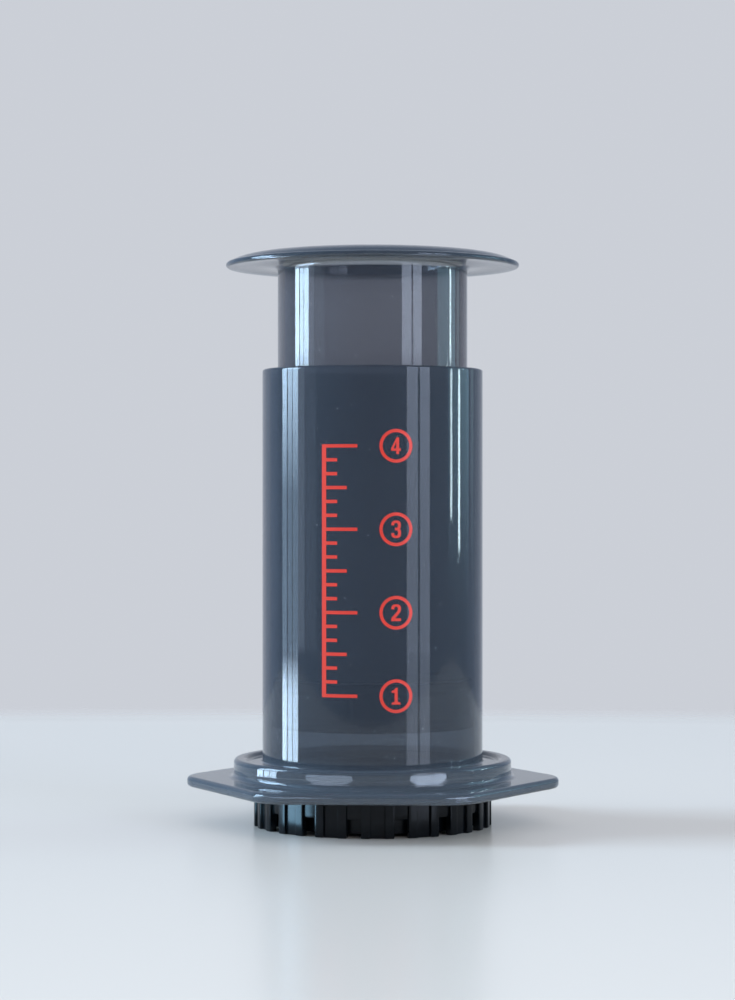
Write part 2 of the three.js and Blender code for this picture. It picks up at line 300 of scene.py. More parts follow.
def window(name, angle, span, strength, tint, bottom, top, steps=None):
    """An upright lamp given by the angle it fills, as it is seen from the press, and its larger twin.

    Steps are pairs of a height and a share of the strength, which the lamp blends between.
    """
    width = 2 * WINDOW_DISTANCE * math.tan(math.radians(span) / 2)
    twin_name = f"{name}, for the counter"
    for title, times, lit in ((name, 1, all_but_counter), (twin_name, COUNTER_TIMES, counter_alone)):
        holder = lamp(title, angle, (bottom + top) / 2 * times, width * times, (top - bottom) * times,
                      strength, tint, WINDOW_DISTANCE * times)
        holder.visible_glossy = lit is all_but_counter
        holder.light_linking.receiver_collection = lit
        if not steps:
            continue
        holder.data.use_nodes = True
        tree = holder.data.node_tree
        place = add(tree, "ShaderNodeNewGeometry").outputs["Position"]
        level = add(tree, "ShaderNodeSeparateXYZ", {}, {"Vector": place}).outputs["Z"]
        risen = add(tree, "ShaderNodeMapRange", {
            "From Min": bottom * times * MM, "From Max": top * times * MM}, {"Value": level})
        ramp = add(tree, "ShaderNodeValToRGB", {}, {"Fac": risen.outputs["Result"]})
        stops = ramp.color_ramp.elements
        for stop in list(stops)[1:]:
            stops.remove(stop)
        for k, (height, share) in enumerate(steps):
            risen_share = (height - bottom) / (top - bottom)
            stop = stops.new(risen_share) if k else stops[0]
            stop.position = risen_share
            stop.color = (share, share, share, 1)
        emission = next(node for node in tree.nodes if node.type == "EMISSION")
        tree.links.new(ramp.outputs["Color"], emission.inputs["Strength"])


WINDOW_TOP, FRONT_WINDOW_TOP = 620, 560
LEFT_STEPS = [(0, 0.2), (95, 0.2), (125, 0.5), (165, 1), (174, 1), (182, 1.55), (WINDOW_TOP, 1.55)]
FRONT_STEPS = [(0, 0.72), (60, 0.72), (150, 0.95), (174, 1), (182, 1.5), (FRONT_WINDOW_TOP, 1.5)]
WALL_STEPS = [(0, 0), (45, 0.12), (100, 0.6), (160, 1), (WINDOW_TOP, 1)]
LEFT_PANES = [(-86, 7.4, 15), (-93.8, 6.6, 13.5), (-102.3, 7.5, 14)]
FRONT_PANES = [(41.0, 12.0, 3.7), (54.8, 11.4, 3.7)]
for angle, span, strength in LEFT_PANES:
    window(f"left window, {-angle:.0f} degrees", angle, span, strength, "#c4e3ff",
           0, WINDOW_TOP, LEFT_STEPS)
for angle, span, strength in FRONT_PANES:
    window(f"front window, {angle:.0f} degrees", angle, span, strength, "#d8e6ff",
           0, FRONT_WINDOW_TOP, FRONT_STEPS)
window("left curtain", -78, 9, 1.5, "#d5e8ff", 0, WINDOW_TOP)
window("left wall", -66, 13, 0.5, "#d5e8ff", 0, WINDOW_TOP)
window("right slit", 88.3, 2.8, 13, "#dff8ff", 80, 172)
window("middle right slit", 100.4, 3.2, 15, "#dff8ff", 60, 172)
window("high right slit", 107.4, 3, 13, "#dff8ff", 176, 300)
window("right wall", 101, 34, 1.5, "#a8e0f4", 0, WINDOW_TOP, WALL_STEPS)
window("right frame", 125, 7, 0.5, "#d0f0f8", 0, WINDOW_TOP, WALL_STEPS)
print(len(LEFT_PANES) + len(FRONT_PANES), "panes,", len(bpy.data.lights), "lamps so far")

# %% [markdown]
# The windows also shine on the counter, and the low parts of the press mirror that. Under each pane lies
# a glowing wedge that keeps the pane's angle, so the band runs on without a step. It adds its light to
# the counter's own look, and only mirrors above it see it, so it doesn't light the counter itself.
# The lowest two centimetres of the tube mirror what lies nearer than 46 cm, where its strength is steady.
# Farther off it blends to about what the pane has at its foot.

# %% Mirrored light on the counter
GLOW_STEADY, GLOW_FAR = 460, 870
MIRROR_RADIUS = 32


def mirrored_light(name, tint, start, end, strengths):
    """A material that adds light on the side its faces point to, and changes with distance in mm."""
    material = bpy.data.materials.new(name)
    tree = empty_tree(material)
    place = add(tree, "ShaderNodeTexCoord").outputs["Object"]
    away = add(tree, "ShaderNodeVectorMath", {"operation": "LENGTH"}, {"Vector": place})
    level = add(tree, "ShaderNodeMapRange", {
        "interpolation_type": "SMOOTHSTEP", "From Min": start * MM, "From Max": end * MM,
        "To Min": strengths[0], "To Max": strengths[1]}, {"Value": away.outputs["Value"]})
    back = add(tree, "ShaderNodeNewGeometry").outputs["Backfacing"]
    front = add(tree, "ShaderNodeMix", {"B": 0.0}, {"Factor": back, "A": level.outputs["Result"]})
    shine = add(tree, "ShaderNodeEmission", {"Color": linear(tint)},
                {"Strength": front.outputs["Result"]})
    clear = add(tree, "ShaderNodeBsdfTransparent")
    both = add(tree, "ShaderNodeAddShader")
    tree.links.new(shine.outputs["Emission"], both.inputs[0])
    tree.links.new(clear.outputs["BSDF"], both.inputs[1])
    add(tree, "ShaderNodeOutputMaterial", {}, {"Surface": both.outputs["Shader"]})
    return material


def glow(name, angle, span, near, strengths, tint):
    """A wedge of light that starts at a distance in mm, with a strength for its near and its far part.

    Its sides follow the rays that a tube of the mirror's radius throws back, so the band is upright.
    """
    sheet = bmesh.new()
    bmesh.ops.create_grid(sheet, x_segments=12, y_segments=1, size=0.5)
    for vert in sheet.verts:
        ray = math.radians(angle + span * vert.co.x)
        ray += MIRROR_RADIUS * math.sin(ray / 2) / WINDOW_DISTANCE
        reach = near + (GLOW_FAR - near) * (vert.co.y + 0.5)
        across = MIRROR_RADIUS * math.sin(ray / 2) + reach * math.sin(ray)
        ahead = MIRROR_RADIUS * math.cos(ray / 2) + reach * math.cos(ray)
        vert.co = Matrix.Rotation(CAMERA_TURN, 3, "Z") @ Vector((across, -ahead, 1)) * MM
    bmesh.ops.recalc_face_normals(sheet, faces=sheet.faces)
    if sheet.faces[:][0].normal.z < 0:
        bmesh.ops.reverse_faces(sheet, faces=sheet.faces)
    mesh = bpy.data.meshes.new(name)
    sheet.to_mesh(mesh)
    sheet.free()
    mesh.materials.append(mirrored_light(name, tint, GLOW_STEADY, GLOW_FAR, strengths))
    light = bpy.data.objects.new(name, mesh)
    scene.collection.objects.link(light)
    light.visible_camera = light.visible_diffuse = light.visible_transmission = light.visible_shadow = False
    light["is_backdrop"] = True


for angle, span, _ in LEFT_PANES:
    glow(f"left light on the counter, {-angle:.0f} degrees", angle, span, 151, (18, 2.3), "#c8e4ff")
for angle, span, _ in FRONT_PANES:
    glow(f"front light on the counter, {angle:.0f} degrees", angle, span, 42, (2.1, 2.1), "#d8e6ff")
print(len(LEFT_PANES) + len(FRONT_PANES), "wedges of light on the counter")

# %% [markdown]
# Three small lamps stand low beside the press and show only in its gloss: two ovals for the soft lights
# on the collar's front, and a panel under the flange for the pale ribs at the cap's left. Each is found
# from the wall that mirrors it: the angle that the wall faces there, and how far off the lamp stands.

# %% Small lamps beside the press
COLLAR_WALL, CAP_WALL = 40, 34.5


def beside(name, wall, facing, reach, lift, width, height, strength, tint):
    """A lamp that a round wall of this radius mirrors to the camera, at the angle where the wall faces."""
    turn = math.radians(facing)
    ray = 2 * turn + wall * math.sin(turn) / CAMERA_DISTANCE
    across = wall * math.sin(turn) + reach * math.sin(ray)
    ahead = wall * math.cos(turn) + reach * math.cos(ray)
    angle, distance = math.degrees(math.atan2(across, ahead)), math.hypot(across, ahead)
    print(f"{name}: at {angle:.0f} degrees, {distance:.0f} mm from the axis")
    holder = lamp(name, angle, lift, width, height, strength, tint, distance)
    holder.visible_diffuse = False
    holder.light_linking.receiver_collection = all_but_counter
    return holder


for side, facing, width, strength in (("left", -18, 30, 4.5), ("right", 23, 24, 8)):
    oval = beside(f"{side} oval by the collar", COLLAR_WALL, facing, reach=22, lift=14.8,
                  width=width, height=4, strength=strength, tint="#d1e4ff").data
    oval.shape = "ELLIPSE"
    oval.energy *= math.pi / 4
beside("left panel by the cap", CAP_WALL, facing=-39.5, reach=12, lift=5,
       width=16, height=9.5, strength=12, tint="#a4dcff")

# %% [markdown]
# One large soft lamp fills from the camera's side and from above, as a studio would have it. It isn't
# mirrored in the plastic: it only lifts the print, the cap and the floor to the colours they are given.

# %% Soft fill
FILL_LIFT, FILL_DISTANCE, FILL_AIM = 720, 1150, 70
fill = lamp("soft fill", angle=12, lift=FILL_LIFT, width=900, height=700, strength=2.1, tint="#fff8f0",
            distance=FILL_DISTANCE)
fill.rotation_euler.x -= math.atan2(FILL_LIFT - FILL_AIM, FILL_DISTANCE)
fill.visible_glossy = False

# %% [markdown]
# ## Smoke-grey plastic
# The tubes are moulded in tinted, polished plastic. Each wall lets a quarter to a third of the light
# through, so a single tube looks mid grey, and two tubes inside each other look nearly black. Part of
# that is done by the base colour, which counts once for each wall, and part by a Volume Absorption,
# which counts every millimetre. It is the volume that darkens the edges, where the eye looks along the
# wall.
# The plastic also has a little blue haze, which a Transmission Weight just under 1 gives, and a thick
# flange shows more of it than a thin wall. Years of use left faint upright rubbing and a few specks.
# The grain of each pattern is given in millimetres. Real rubbing is finer than the camera can see, so it
# is drawn nearly a millimetre wide.

# %% Smoke plastic
CLOUD, RUBBING, SPECK, DRAW_WAVE = 45, 0.9, 0.6, 7


def smoke_plastic(name, thin_at, thick_at, thin_tint, thick_tint, absorbed, thick_clear):
    """Polished smoke-grey plastic. Its haze grows between two heights in mm."""
    material, tree, shader, place = new_material(name, {"IOR": 1.46})
    absorb = add(tree, "ShaderNodeVolumeAbsorption", {"Color": linear(absorbed), "Density": 1 / MM})
    output = next(node for node in tree.nodes if node.type == "OUTPUT_MATERIAL")
    tree.links.new(absorb.outputs["Volume"], output.inputs["Volume"])

    height = add(tree, "ShaderNodeSeparateXYZ", {}, {"Vector": place}).outputs["Z"]
    thick = add(tree, "ShaderNodeMapRange", {
        "interpolation_type": "SMOOTHSTEP", "From Min": thin_at * MM, "From Max": thick_at * MM,
    }, {"Value": height})
    clear = add(tree, "ShaderNodeMapRange", {"To Min": 0.92, "To Max": thick_clear},
                {"Value": thick.outputs["Result"]})
    tree.links.new(clear.outputs["Result"], shader.inputs["Transmission Weight"])
    body = add(tree, "ShaderNodeMix", {"data_type": "RGBA"}, {"Factor": thick.outputs["Result"]})
    body.inputs[COLOUR_A].default_value = linear(thin_tint)
    body.inputs[COLOUR_B].default_value = linear(thick_tint)
    flow = add(tree, "ShaderNodeTexNoise", {"Scale": 1 / (CLOUD * MM), "Detail": 2.0}, {"Vector": place})
    shade = add(tree, "ShaderNodeMapRange", {"To Min": 0.9, "To Max": 1.05}, {"Value": flow.outputs["Fac"]})
    tone = add(tree, "ShaderNodeVectorMath", {"operation": "SCALE"}, {
        "Vector": body.outputs[COLOUR_RESULT], "Scale": shade.outputs["Result"]})
    tree.links.new(tone.outputs["Vector"], shader.inputs["Base Color"])

    upright = add(tree, "ShaderNodeMapping", {"Scale": (1, 1, 0.05)}, {"Vector": place})
    rubbed = add(tree, "ShaderNodeTexNoise", {"Scale": 1 / (RUBBING * MM), "Detail": 3.0},
                 {"Vector": upright.outputs["Vector"]})
    worn = add(tree, "ShaderNodeMapRange", {"To Min": 0.11, "To Max": 0.04},
               {"Value": thick.outputs["Result"]})
    streaks = add(tree, "ShaderNodeMapRange", {"From Min": 0.5, "From Max": 0.85, "To Min": 0.03},
                  {"Value": rubbed.outputs["Fac"], "To Max": worn.outputs["Result"]})
    dust = add(tree, "ShaderNodeTexNoise", {"Scale": 1 / (SPECK * MM), "Detail": 1.0}, {"Vector": place})
    specks = add(tree, "ShaderNodeMapRange", {"From Min": 0.79, "From Max": 0.82, "To Max": 0.4},
                 {"Value": dust.outputs["Fac"]})
    gloss = add(tree, "ShaderNodeMath", {"operation": "MAXIMUM"})
    tree.links.new(streaks.outputs["Result"], gloss.inputs[0])
    tree.links.new(specks.outputs["Result"], gloss.inputs[1])
    tree.links.new(gloss.outputs["Value"], shader.inputs["Roughness"])

    drawn = add(tree, "ShaderNodeMapping", {"Scale": (1, 1, 0.02)}, {"Vector": place})
    waves = add(tree, "ShaderNodeTexNoise", {"Scale": 1 / (DRAW_WAVE * MM), "Detail": 1.0},
                {"Vector": drawn.outputs["Vector"]})
    bump = add(tree, "ShaderNodeBump", {"Strength": 1.0, "Distance": 0.01 * MM},
               {"Height": waves.outputs["Fac"]})
    tree.links.new(bump.outputs["Normal"], shader.inputs["Normal"])
    return material


chamber_plastic = smoke_plastic(
    "smoke-grey polypropylene, chamber", thin_at=22, thick_at=18,
    thin_tint="#bccee6", thick_tint="#bbcee0", absorbed="#d6d1ca", thick_clear=0.84)
plunger_plastic = smoke_plastic(
    "smoke-grey polypropylene, plunger", thin_at=159, thick_at=162,
    thin_tint="#cad4e8", thick_tint="#b0c4d8", absorbed="#e2dbd1", thick_clear=0.87)
print(len(chamber_plastic.node_tree.nodes), "nodes in the smoke-grey plastic")

# %% [markdown]
# ## Black plastic, rubber, paper and ink
# The cap is moulded in solid black plastic, which keeps the mould's faint orange peel. The seal is
# rubber: darker in its gloss, with a fine even grain. The filter is pressed paper, all fibre. The
# numbers are printed in red ink, which is a film with a soft gloss.


# %% Opaque materials
def grained(name, colour, roughness, grain, depth, spread=0.06, ior=1.5, shine=0.5):
    """An opaque material whose gloss and surface vary with a fine grain of a real size in mm."""
    settings = {"Base Color": linear(colour), "IOR": ior, "Specular IOR Level": shine}
    material, tree, shader, place = new_material(name, settings)
    noise = add(tree, "ShaderNodeTexNoise", {"Scale": 1 / (grain * MM), "Detail": 4.0}, {"Vector": place})
    gloss = add(tree, "ShaderNodeMapRange", {"To Min": roughness - spread, "To Max": roughness + spread},
                {"Value": noise.outputs["Fac"]})
    tree.links.new(gloss.outputs["Result"], shader.inputs["Roughness"])
    bump = add(tree, "ShaderNodeBump", {"Strength": 0.4, "Distance": depth * MM},
               {"Height": noise.outputs["Fac"]})
    tree.links.new(bump.outputs["Normal"], shader.inputs["Normal"])
    return material


cap_plastic = grained("moulded black polypropylene", "#0a0f14", 0.24, grain=1.5, depth=0.006,
                      ior=1.45, shine=0.3)
seal_rubber = grained("moulded black rubber", "#17181a", 0.5, grain=0.35, depth=0.02, ior=1.52)
filter_paper = grained("pressed filter paper", "#efece4", 0.9, grain=0.25, depth=0.03)
print_ink = grained("pad-printed red ink", "#f2493b", 0.34, grain=0.3, depth=0.004)
print(len(bpy.data.materials), "materials")

# %% [markdown]
# ## Turned shapes
# Nearly everything here is round, so it is drawn as half a section and spun about the Z axis. A section
# is a list of corners, each with a radius, a height and, where it is rounded, how far the round reaches
# along the two sides. The round is a conic arc, which is a true circle when both reaches are equal.


# %% Section and spin
HOLD = 0.12


def rounded(corners, steps=7):
    """Points along a closed run of corners, with each corner rounded as far as it says.

    A point just outside each round holds the smooth shading of the straight side beside it.
    """
    reaches = [((corner[2], corner[-1]) if len(corner) > 2 else (0, 0)) for corner in corners]
    points = []
    for i, corner in enumerate(corners):
        here, following = Vector(corner[:2]), (i + 1) % len(corners)
        before, after = reaches[i]
        if not before:
            points.append(here)
            continue
        back, ahead = Vector(corners[i - 1][:2]) - here, Vector(corners[following][:2]) - here
        room_before = back.length - before - reaches[i - 1][1]
        room_after = ahead.length - after - reaches[following][0]
        back.normalize()
        ahead.normalize()
        start, end = here + back * before, here + ahead * after
        weight = math.cos((-back).angle(ahead) / 2)
        if room_before > 3 * HOLD:
            points.append(start + back * HOLD)
        for k in range(steps + 1):
            t = k / steps
            a, b, c = (1 - t) ** 2, 2 * weight * t * (1 - t), t ** 2
            points.append((start * a + here * b + end * c) / (a + b + c))
        if room_after > 3 * HOLD:
            points.append(end + ahead * HOLD)
    return points


def spun(corners, turns=360, closed=False):
    """A bmesh turned about the Z axis. An open section starts and ends on the axis."""
    bm = bmesh.new()
    wire = [bm.verts.new((point.x * MM, 0, point.y * MM)) for point in rounded(corners)]
    edges = [bm.edges.new(pair) for pair in zip(wire, wire[1:])]
    if closed:
        edges.append(bm.edges.new((wire[-1], wire[0])))
    bmesh.ops.spin(bm, geom=wire + edges, cent=(0, 0, 0), axis=(0, 0, 1), angle=math.tau,
                   steps=turns, use_merge=True)
    bmesh.ops.remove_doubles(bm, verts=bm.verts, dist=1e-7)
    bmesh.ops.recalc_face_normals(bm, faces=bm.faces)
    return bm


def finished(bm, name, material, body, node=None, crease=35):
    """Turn a bmesh into a shown piece that rides on a body and stands for a node."""
    mesh = bpy.data.meshes.new(name)
    bm.to_mesh(mesh)
    bm.free()
    mesh.shade_smooth()
    mesh.set_sharp_from_angle(angle=math.radians(crease))
    mesh.materials.append(material)
    piece = bpy.data.objects.new(name, mesh)
    scene.collection.objects.link(piece)
    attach(piece, body)
    if node:
        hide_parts(node)
    print(f"{name}: {len(mesh.polygons)} faces")
    return piece


# %% [markdown]
# ## The chamber
# Tube, collar and flange are one moulding, so they are one mesh. Spinning gives a round flange, and a
# hexagon with round corners is then made by pushing its outer rings out to the hexagon, each corner
# by its own reach. The lugs of the bayonet are faces of the spigot that are extruded outwards.

# %% Chamber
BORE, TUBE, SPIGOT, LUG = 29.6, 31.95, 31.0, 32.0
COLLAR_BORE, COLLAR = 38.2, 40.25
FLANGE_LOW, FLANGE_TOP = 11.0, 14.0
CEILING, DISH, CREST = 16.6, 18.4, 19.45
LUG_LOW, LUG_TOP = 8.2, 9.9
FLANGE_FLAT, FLANGE_TIP, FLANGE_CORNER = 48.5, 54.0, 12.9
HEX_START = 43.2
LUG_SPAN, BAYONET_PHASE = 16, 45

chamber_section = [
    (SPIGOT, SPIGOT_LOW, 0.25),
    (SPIGOT, LUG_LOW),
    (SPIGOT, LUG_TOP),
    (SPIGOT, CEILING, 0.5),
    (COLLAR_BORE, CEILING, 1.2),
    (COLLAR_BORE, FLANGE_LOW, 0.5),
    (HEX_START, FLANGE_LOW),
    (FLANGE_FLAT, FLANGE_LOW, 1.0),
    (FLANGE_FLAT, FLANGE_TOP, 1.2),
    (HEX_START, FLANGE_TOP),
    (COLLAR, FLANGE_TOP, 1.4),
    (COLLAR, CREST, 1.2),
    (COLLAR - 3.3, CREST, 0.9),
    (COLLAR - 4.3, DISH, 0.6),
    (TUBE, DISH, 0.5),
    (TUBE, RIM, 0.7),
    (BORE, RIM, 0.7),
    (BORE, SPIGOT_LOW, 0.25),
]


def hexagon_reach(angle):
    """How far the round-cornered hexagon reaches at an angle, with a corner at angle 0."""
    side = math.pi / 3
    off = abs((angle + side / 2) % side - side / 2)
    middle = FLANGE_TIP - FLANGE_CORNER
    ends = math.atan2(FLANGE_CORNER * math.sin(side / 2), middle + FLANGE_CORNER * math.cos(side / 2))
    if off > ends:
        return FLANGE_FLAT / math.cos(side / 2 - off)
    return middle * math.cos(off) + math.sqrt(FLANGE_CORNER**2 - (middle * math.sin(off)) ** 2)


def push_to_hexagon(bm):
    for vert in bm.verts:
        radius = math.hypot(vert.co.x, vert.co.y) / MM
        if radius > HEX_START + 0.01 and vert.co.z / MM < FLANGE_TOP + 0.01:
            share = min(1, (radius - HEX_START) / (FLANGE_FLAT - 2 - HEX_START))
            push = (hexagon_reach(math.atan2(vert.co.y, vert.co.x)) - FLANGE_FLAT) * share
            vert.co.xy *= (radius + push) / radius


def from_front(point):
    """The angle of a point in degrees, from the front towards +X."""
    return math.degrees(math.atan2(point.x, -point.y))


def off_bayonet(point):
    """How far a point is from the middle of the nearest of the four lugs, in degrees."""
    return (from_front(point) - BAYONET_PHASE + 45) % 90 - 45


def drawn_to(bm, faces, radius):
    """Extrude faces of an upright wall and bring them to a new radius in mm."""
    made = bmesh.ops.extrude_face_region(bm, geom=faces)["geom"]
    bmesh.ops.delete(bm, geom=faces, context="FACES_KEEP_BOUNDARY")
    for vert in (item for item in made if isinstance(item, bmesh.types.BMVert)):
        vert.co.xy *= radius * MM / vert.co.xy.length


chamber = spun(chamber_section, turns=480, closed=True)
push_to_hexagon(chamber)
lug_faces = [
    face for face in chamber.faces
    if abs(face.calc_center_median().xy.length / MM - SPIGOT) < 0.05
    and LUG_LOW < face.calc_center_median().z / MM < LUG_TOP
    and abs(off_bayonet(face.calc_center_median())) < LUG_SPAN / 2
]
drawn_to(chamber, lug_faces, LUG)
bmesh.ops.recalc_face_normals(chamber, faces=chamber.faces)
finished(chamber, "chamber_moulding", chamber_plastic, "chamber", "chamber")

# %% [markdown]
# ## The plunger
# The plunger is a hollow tube that steps in at its foot to a neck and a head, which hold the seal. At
# the top it opens out into a domed flange for the palm of the hand. The dome is one long round with
# unequal reaches, so it falls slowly at first and faster towards the edge.

# %% Plunger
PLUNGER, PLUNGER_BORE = 27.5, 25.5
NECK, NECK_BORE, HEAD = 21.5, 19.5, 24.5
HEAD_TOP = HEAD_LOW + 2.5
SHOULDER = SEAL_TOP + 0.3
FOOT_WALL = 2.2
PALM = 42.5
EDGE_HEIGHT = DOME_TOP - 3.4
UNDERSIDE = DOME_TOP - 4.1

plunger_section = [
    (0, HEAD_LOW),
    (HEAD, HEAD_LOW, 0.4),
    (HEAD, HEAD_TOP, 0.4),
    (NECK, HEAD_TOP, 0.3),
    (NECK, SHOULDER, 0.3),
    (PLUNGER, SHOULDER, 0.6),
    (PLUNGER, UNDERSIDE, 1.2),
    (34.3, UNDERSIDE + 0.75, 5.0),
    (PALM - 0.8, EDGE_HEIGHT - 0.8),
    (PALM, EDGE_HEIGHT - 0.8, 0.8),
    (PALM, EDGE_HEIGHT + 0.75, 0.75),
    (PALM - 0.9, EDGE_HEIGHT + 0.8),
    (36.9, DOME_TOP, 4.6, 9.2),
    (PLUNGER_BORE, DOME_TOP, 1.7),
    (PLUNGER_BORE, SHOULDER + FOOT_WALL, 0.8),
    (NECK_BORE, SHOULDER + FOOT_WALL, 0.8),
    (NECK_BORE, HEAD_LOW + FOOT_WALL, 0.8),
    (0, HEAD_LOW + FOOT_WALL),
]
plunger = spun(plunger_section)
finished(plunger, "plunger_moulding", plunger_plastic, "plunger", "plunger")

# %% [markdown]
# ## The seal
# The seal is a plug of rubber with a lip at each end and a waist between them, and its face is slightly
# domed so that it presses the last water out of the coffee. It snaps over the plunger's head.

# %% Seal
SEAL = BORE - 0.3
SEAL_EDGE = SEAL_LOW + 1.0
LIP, WAIST = 2.4, 1.0
seal_section = [
    (0, SEAL_LOW),
    (SEAL * 0.55, SEAL_LOW, 9.0, 9.0),
    (SEAL, SEAL_EDGE, 0.8),
    (SEAL, SEAL_EDGE + LIP, 0.5),
    (SEAL - WAIST, SEAL_EDGE + LIP + WAIST, 0.6),
    (SEAL - WAIST, SEAL_TOP - LIP - WAIST, 0.6),
    (SEAL, SEAL_TOP - LIP, 0.5),
    (SEAL, SEAL_TOP, 0.6),
    (NECK + 0.3, SEAL_TOP, 0.3),
    (NECK + 0.3, HEAD_TOP + 0.3),
    (HEAD + 0.3, HEAD_TOP + 0.3),
    (HEAD + 0.3, HEAD_LOW - 0.3),
    (0, HEAD_LOW - 0.3),
]
seal = spun(seal_section, turns=240)
finished(seal, "seal_rubber_plug", seal_rubber, "plunger", "plunger_seal")

# %% [markdown]
# ## The filter cap
# The cap starts as a flat sheet: rings of faces round a middle that is pierced by the drain holes. The
# sheet is extruded upwards into the floor, and rings of its faces are extruded on into the skirt. Where
# a window is to be, the skirt isn't extruded downwards, so the windows need no cutting. All edges fall
# on one grid of angles, which has twenty steps for each window.

# %% Cap sheet with its drain holes
WINDOWS, STEPS_PER_WINDOW = 16, 20
WINDOW_STEPS, RIB_STEPS = 3, 4
WINDOW_PHASE = -6.3
FLOOR_LOW, CAP_FLOOR = 5.2, 7.0
RING_BORE, RING, RING_LOW = 29.4, 30.9, 1.0
CAP_BORE, SKIRT, RIB = 32.3, 33.7, 34.5
LEDGE, LEDGE_LOW, LEDGE_TOP = 31.3, 10.2, 12.0
LEDGE_SPAN, STOP_OFFSET, STOP_SPAN = 20, -9.8, 2.4
DRAIN, DRAIN_PITCH, DRAIN_COUNTS = 1.0, 5.1, (6, 12, 18, 24, 36)
STEP = 360 / (WINDOWS * STEPS_PER_WINDOW)


def steps_from_window(point):
    """How many angle steps a point is from the middle of the nearest window."""
    pitch = STEP * STEPS_PER_WINDOW
    return abs((from_front(point) - WINDOW_PHASE + pitch / 2) % pitch - pitch / 2) / STEP


def ring_faces(bm, inner, outer, height):
    """Level faces between two radii at a height, all in mm."""
    found = []
    for face in bm.faces:
        middle = face.calc_center_median()
        at_height = all(abs(vert.co.z / MM - height) < 0.01 for vert in face.verts)
        if at_height and inner < middle.xy.length / MM < outer:
            found.append(face)
    return found


cap = bmesh.new()
first = math.radians(WINDOW_PHASE)
spoke = [
    cap.verts.new((radius * math.sin(first) * MM, -radius * math.cos(first) * MM, FLOOR_LOW * MM))
    for radius in (RING_BORE, RING, CAP_BORE, SKIRT, RIB)
]
spoke_edges = [cap.edges.new(pair) for pair in zip(spoke, spoke[1:])]
bmesh.ops.spin(cap, geom=spoke + spoke_edges, cent=(0, 0, 0), axis=(0, 0, 1), angle=math.tau,
               steps=WINDOWS * STEPS_PER_WINDOW, use_merge=True)
bmesh.ops.remove_doubles(cap, verts=cap.verts, dist=1e-7)
plain = [
    face for face in ring_faces(cap, SKIRT, RIB, FLOOR_LOW)
    if not WINDOW_STEPS < steps_from_window(face.calc_center_median()) < WINDOW_STEPS + RIB_STEPS
]
bmesh.ops.delete(cap, geom=plain, context="FACES")

drain_places = [Vector((0, 0))]
for ring, count in enumerate(DRAIN_COUNTS, 1):
    for k in range(count):
        turn = math.tau * k / count
        drain_places.append(Vector((math.sin(turn), -math.cos(turn))) * ring * DRAIN_PITCH)
rim_edges = [
    edge for edge in cap.edges
    if edge.is_boundary and all(vert.co.xy.length / MM < RING_BORE + 0.01 for vert in edge.verts)
]
for place in drain_places:
    at = Matrix.Translation((place.x * MM, place.y * MM, FLOOR_LOW * MM))
    circle = bmesh.ops.create_circle(cap, segments=20, radius=DRAIN * MM, matrix=at)
    rim_edges += {edge for vert in circle["verts"] for edge in vert.link_edges}
bmesh.ops.triangle_fill(cap, use_beauty=True, edges=rim_edges, normal=(0, 0, 1))
print(len(drain_places), "drain holes,", len(cap.faces), "faces in the sheet")

# %% [markdown]
# Extruding a sheet upwards closes it into a plate. After that, each call takes the faces that face the
# way it goes, and moves only what it has made. The ledges of the bayonet and their stops are faces of
# the skirt's inner wall, drawn inwards.


# %% Cap raised from its sheet
def raise_faces(bm, faces, height, keep=False):
    """Extrude level faces and bring them to a height in mm. The old faces stay only as an underside."""
    made = bmesh.ops.extrude_face_region(bm, geom=faces)["geom"]
    if not keep:
        bmesh.ops.delete(bm, geom=faces, context="FACES_KEEP_BOUNDARY")
    for vert in (item for item in made if isinstance(item, bmesh.types.BMVert)):
        vert.co.z = height * MM


raise_faces(cap, cap.faces[:], CAP_FLOOR, keep=True)
feet = [
    face for face in ring_faces(cap, CAP_BORE, RIB, FLOOR_LOW)
    if steps_from_window(face.calc_center_median()) > WINDOW_STEPS
]
raise_faces(cap, feet, 0)
raise_faces(cap, ring_faces(cap, RING_BORE, RING, FLOOR_LOW), RING_LOW)
level = CAP_FLOOR
for height in (LEDGE_LOW, LEDGE_TOP, SKIRT_TOP):
    raise_faces(cap, ring_faces(cap, CAP_BORE, RIB, level), height)
    level = height


def is_ledge(face):
    middle = face.calc_center_median()
    if abs(middle.xy.length / MM - CAP_BORE) > 0.05:
        return False
    height, off = middle.z / MM, off_bayonet(middle)
    on_stop = abs(off - STOP_OFFSET) < STOP_SPAN / 2
    return LEDGE_LOW < height < LEDGE_TOP and (abs(off) < LEDGE_SPAN / 2 or on_stop) or (
        CAP_FLOOR < height < LEDGE_LOW and on_stop)


drawn_to(cap, [face for face in cap.faces if is_ledge(face)], LEDGE)
bmesh.ops.recalc_face_normals(cap, faces=cap.faces)
outer_edges = [
    edge for edge in cap.edges
    if edge.is_manifold and edge.is_convex and edge.calc_face_angle() > math.radians(50)
    and all(vert.co.xy.length / MM > CAP_BORE - 0.1 for vert in edge.verts)
]
EDGE_ROUND = 0.28
bmesh.ops.bevel(cap, geom=outer_edges, offset=EDGE_ROUND * MM, offset_type="OFFSET", segments=2, profile=0.5,
                affect="EDGES", clamp_overlap=True, material=-1)
open_edges = [edge for edge in cap.edges if not edge.is_manifold]
print(len(open_edges), "open edges in the cap")
finished(cap, "cap_moulding", cap_plastic, "filter_cap", "filter_cap", crease=25)

# %% [markdown]
# ## The paper filter
# The filter is a disc of paper that lies on the cap's floor. It hides inside the press, but it would be
# the first thing to see when the cap comes off, so it gets its fibre like the rest.

# %% Paper filter
paper = spun([(0, PAPER_LOW), (LEDGE, PAPER_LOW), (LEDGE, PAPER_TOP), (0, PAPER_TOP)], turns=180)
finished(paper, "filter_disc", filter_paper, "filter_cap", "paper_filter")

